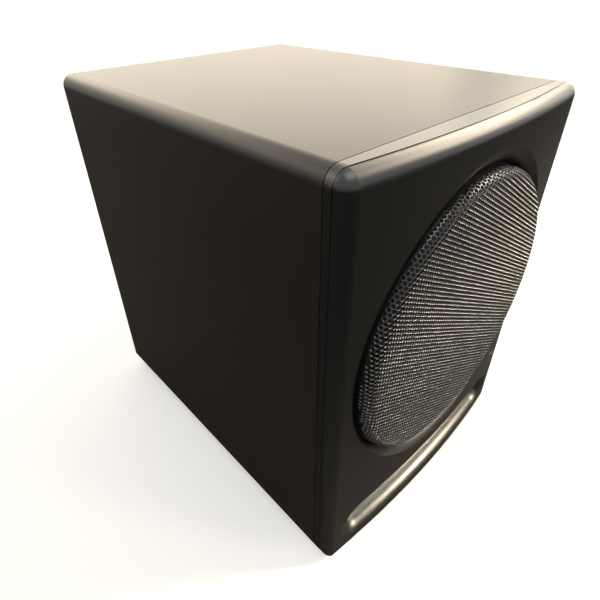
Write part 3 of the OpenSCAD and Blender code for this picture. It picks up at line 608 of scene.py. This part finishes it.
class SUBWOOFER_OT_finishes(bpy.types.Operator):
    """Gives every carried-over node its material"""

    bl_idname = "subwoofer.finishes"
    bl_label = "Finishes"

    def execute(self, context):
        finishes = context.scene.subwoofer_finishes

        # Vinyl film with a pressed grain: dark, with a satin bloom towards the light and pale dust on it.
        # The real grain is too fine to show, so it is drawn coarser.
        vinyl = grained("satin_vinyl_film", finishes.vinyl, 0.4, 1.6, 0.12, ior=1.4, dust=0.12)
        dress(vinyl, "cabinet_wrap", "back_panel")

        # ABS from a spark-textured mould: near black, with broad soft highlights along its roundings.
        # The texture is drawn coarser than the real one, so that it shows.
        baffle = grained("textured_abs", finishes.baffle, 0.34, 1.2, 0.04, ior=1.6, dust=0.12)
        dress(baffle, "front_baffle")

        # Plain moulded ABS: even, dark and half matt
        moulded = grained("moulded_abs", "#161617", 0.5, 0.4, 0.02)
        dress(
            moulded, "port_duct", "mains_inlet", "switch_frame", "power_rocker", "level_knob",
            "crossover_knob", "polarity_slider", "highpass_slider", "jack_in_left", "jack_in_right",
            "jack_out_left", "jack_out_right",
        )

        # Polished smoked acrylic: a brown lens with a sharp, glassy reflection
        lens = grained("smoked_acrylic", "#2a221a", 0.12, 2.0, 0.005, ior=1.49, spread=0.02)
        dress(lens, "status_lens")

        # Cast epoxy: pale and glossy
        epoxy = grained("clear_epoxy", "#d9d5cc", 0.2, 1.0, 0.01, ior=1.5)
        dress(epoxy, "status_led")

        # Moulded rubber: black, with hardly any shine
        rubber = grained("moulded_rubber", "#121212", 0.75, 0.5, 0.03, ior=1.52)
        dress(
            rubber, "grille_gasket", "woofer_gasket", "foot_front_left", "foot_front_right",
            "foot_rear_left", "foot_rear_right", "amp_gasket",
        )

        # Stoved enamel on a steel pressing: dark, with a slight orange peel
        enamel = grained("stove_enamel", "#161616", 0.4, 0.8, 0.02)
        dress(enamel, "basket")

        # Bright zinc plating: a pale grey metal with blurred reflections
        zinc = grained("zinc_plated_steel", "#b9b8b4", 0.32, 0.3, 0.01, metallic=1.0)
        dress(
            zinc, "top_plate", "yoke", "transformer_bolt", "foot_screws", "inlet_blades", "level_pot",
            "crossover_pot", "polarity_body", "highpass_body",
        )

        # Ground ceramic ferrite: slate grey and dry
        ferrite = grained("sintered_ferrite", "#3a3a3c", 0.7, 0.5, 0.03)
        dress(ferrite, "magnet")

        # Black oxide on steel: dark metal with a dull oily gleam
        oxide = grained("black_oxide_steel", "#1b1b1c", 0.4, 0.3, 0.01, metallic=0.6)
        dress(oxide, "woofer_screws", "plate_screws")

        # Pressed paper pulp with a coating: matt black, with a pulpy grain
        paper = grained("coated_paper", "#1a1918", 0.7, 0.9, 0.08)
        dress(paper, "cone", "dust_cap")

        # Rolled aluminium foil under lacquer: pale gold and shiny
        foil = grained("former_foil", "#c8b894", 0.35, 0.5, 0.01, metallic=1.0)
        dress(foil, "coil_former")

        # Enamelled copper wire: warm red-brown metal with a soft shine
        copper = grained("enamelled_copper", "#a8622c", 0.35, 0.4, 0.03, metallic=0.9)
        dress(copper, "coil_winding", "transformer")

        # Powder-coated steel plate: charcoal, with a fine eggshell texture
        plate = grained("powder_coated_plate", "#1a1a1b", 0.5, 0.8, 0.04)
        dress(plate, "amp_plate")

        # Extruded aluminium, anodised black: dark metal with soft highlights along its fins
        anodised = grained("black_anodised_aluminium", "#1d1d1f", 0.42, 0.4, 0.01, metallic=0.7)
        dress(anodised, "heatsink")

        # Solder mask over a circuit board: smooth dark green
        mask = grained("solder_mask", "#1f3a2c", 0.35, 0.6, 0.01)
        dress(mask, "amp_board")

        # Gold flash on turned brass: bright yellow metal
        gold = grained("gold_plated_brass", "#c9a95a", 0.25, 0.4, 0.005, metallic=1.0)
        dress(gold, "board_posts", "phono_in_left", "phono_in_right", "phono_out_left", "phono_out_right")

        # Shrunk plastic sleeve: tight, dark and glossy
        sleeve = grained("shrink_sleeve", "#22252c", 0.3, 1.0, 0.01)
        dress(sleeve, "capacitor_left", "capacitor_right")
        return {"FINISHED"}


def white_paper():
    """Paper that takes the object's shadow nearby and is plain white far off, for camera and reflections."""
    material, tree, place = new_material("white_paper")
    away = add_node(tree, "ShaderNodeVectorMath", {0: place}, operation="LENGTH")
    bright = add_node(
        tree, "ShaderNodeMapRange",
        {
            "Value": away.outputs["Value"],
            "From Min": WHITE_NEAR,
            "From Max": WHITE_FAR,
            "To Min": WHITE_NEAR_SHARE,
            "To Max": 1.0,
        },
        interpolation_type="SMOOTHSTEP",
    )
    far = add_node(
        tree, "ShaderNodeMapRange",
        {"Value": away.outputs["Value"], "From Min": MIRROR_NEAR, "From Max": MIRROR_FAR},
        interpolation_type="SMOOTHSTEP",
    )
    path = add_node(tree, "ShaderNodeLightPath")
    mirrored = add_node(
        tree, "ShaderNodeMath",
        {0: path.outputs["Is Glossy Ray"], 1: path.outputs["Is Transmission Ray"]}, operation="MAXIMUM",
    )
    mirror_share = add_node(
        tree, "ShaderNodeMath", {0: far.outputs["Result"], 1: mirrored.outputs[0]}, operation="MULTIPLY"
    )
    camera_share = add_node(
        tree, "ShaderNodeMath",
        {0: bright.outputs["Result"], 1: path.outputs["Is Camera Ray"]}, operation="MULTIPLY",
    )
    share = add_node(
        tree, "ShaderNodeMath",
        {0: camera_share.outputs[0], 1: mirror_share.outputs[0]}, operation="MAXIMUM",
    )
    sheet = add_node(
        tree, "ShaderNodeMixRGB",
        {"Fac": path.outputs["Is Camera Ray"], "Color1": linear(PAPER_BOUNCE), "Color2": linear(PAPER)},
    )
    matt = add_node(tree, "ShaderNodeBsdfDiffuse", {"Color": sheet.outputs["Color"]})
    white = add_node(tree, "ShaderNodeEmission", {"Color": (1, 1, 1, 1), "Strength": 1.0})
    both = add_node(
        tree, "ShaderNodeMixShader", {0: share.outputs[0], 1: matt.outputs[0], 2: white.outputs[0]}
    )
    add_node(tree, "ShaderNodeOutputMaterial", {"Surface": both.outputs[0]})
    return material


def studio_world():
    """A world that is white to the camera and in reflections, and a low fill light to the rest."""
    world = bpy.data.worlds.new("studio")
    world.use_nodes = True
    tree = world.node_tree
    background = tree.nodes["Background"]
    background.inputs["Color"].default_value = (1, 1, 1, 1)
    path = add_node(tree, "ShaderNodeLightPath")
    seen = add_node(
        tree, "ShaderNodeMath",
        {0: path.outputs["Is Camera Ray"], 1: path.outputs["Is Glossy Ray"]}, operation="MAXIMUM",
    )
    seen = add_node(
        tree, "ShaderNodeMath",
        {0: seen.outputs[0], 1: path.outputs["Is Transmission Ray"]}, operation="MAXIMUM",
    )
    level = add_node(
        tree, "ShaderNodeMapRange", {"Value": seen.outputs[0], "To Min": WORLD_FILL, "To Max": 1.0}
    )
    tree.links.new(level.outputs["Result"], background.inputs["Strength"])
    return world


class SUBWOOFER_OT_stage(bpy.types.Operator):
    """Sets the floor, the soft lights and the camera"""

    bl_idname = "subwoofer.stage"
    bl_label = "Stage"

    def execute(self, context):
        scene = context.scene
        scene.view_settings.view_transform = "Standard"
        scene.world = studio_world()
        deselect()
        bpy.ops.mesh.primitive_circle_add(
            vertices=FLOOR_POINTS, radius=FLOOR_R, fill_type="NGON", location=(0, 0, -FLOOR_DROP)
        )
        floor = context.object
        floor.name = "floor"
        floor.data.materials.append(white_paper())
        warm_colour = linear(scene.subwoofer_finishes.light)[:3]
        for name, place, aim, size, power, spread, is_warm in LAMPS:
            bpy.ops.object.light_add(type="AREA", location=place)
            lamp = context.object
            lamp.name = name
            lamp.data.shape = "RECTANGLE"
            lamp.data.size, lamp.data.size_y = size
            lamp.data.energy = power
            lamp.data.spread = math.radians(spread)
            lamp.data.color = warm_colour if is_warm else (1, 1, 1)
            lamp.visible_camera = False
            lamp.rotation_euler = (Vector(aim) - Vector(place)).to_track_quat("-Z", "Y").to_euler()
        bpy.ops.object.camera_add(
            location=CAMERA_PLACE, rotation=[math.radians(angle) for angle in CAMERA_TURN]
        )
        camera = context.object
        camera.data.sensor_width = CAMERA_SENSOR
        camera.data.lens = CAMERA_LENS
        camera.data.shift_x, camera.data.shift_y = CAMERA_SHIFT
        camera.data.clip_start = CAMERA_CLIP
        scene.camera = camera
        return {"FINISHED"}


class SUBWOOFER_PT_panel(bpy.types.Panel):
    """Lists the sizes, finishes and steps of the subwoofer"""

    bl_label = "Subwoofer"
    bl_space_type = "VIEW_3D"
    bl_region_type = "UI"
    bl_category = "Subwoofer"

    def draw(self, context):
        for group in (context.scene.subwoofer_sizes, context.scene.subwoofer_finishes):
            for name in group.__annotations__:
                self.layout.prop(group, name)
        for step in STEPS:
            self.layout.operator(step.bl_idname)


STEPS = (
    SUBWOOFER_OT_grille,
    SUBWOOFER_OT_suspension,
    SUBWOOFER_OT_scales,
    SUBWOOFER_OT_finishes,
    SUBWOOFER_OT_stage,
)
CLASSES = (SubwooferSizes, SubwooferFinishes) + STEPS + (SUBWOOFER_PT_panel,)


def register():
    """Registers the classes and hangs the settings on the scene."""
    for cls in CLASSES:
        bpy.utils.register_class(cls)
    bpy.types.Scene.subwoofer_sizes = bpy.props.PointerProperty(type=SubwooferSizes)
    bpy.types.Scene.subwoofer_finishes = bpy.props.PointerProperty(type=SubwooferFinishes)


def unregister():
    """Takes the settings off the scene and unregisters the classes."""
    del bpy.types.Scene.subwoofer_finishes
    del bpy.types.Scene.subwoofer_sizes
    for cls in reversed(CLASSES):
        bpy.utils.unregister_class(cls)


def main():
    """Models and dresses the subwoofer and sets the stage."""
    register()
    bpy.ops.subwoofer.grille()
    bpy.ops.subwoofer.suspension()
    bpy.ops.subwoofer.scales()
    bpy.ops.subwoofer.finishes()
    bpy.ops.subwoofer.stage()


if __name__ == "__main__":
    main()
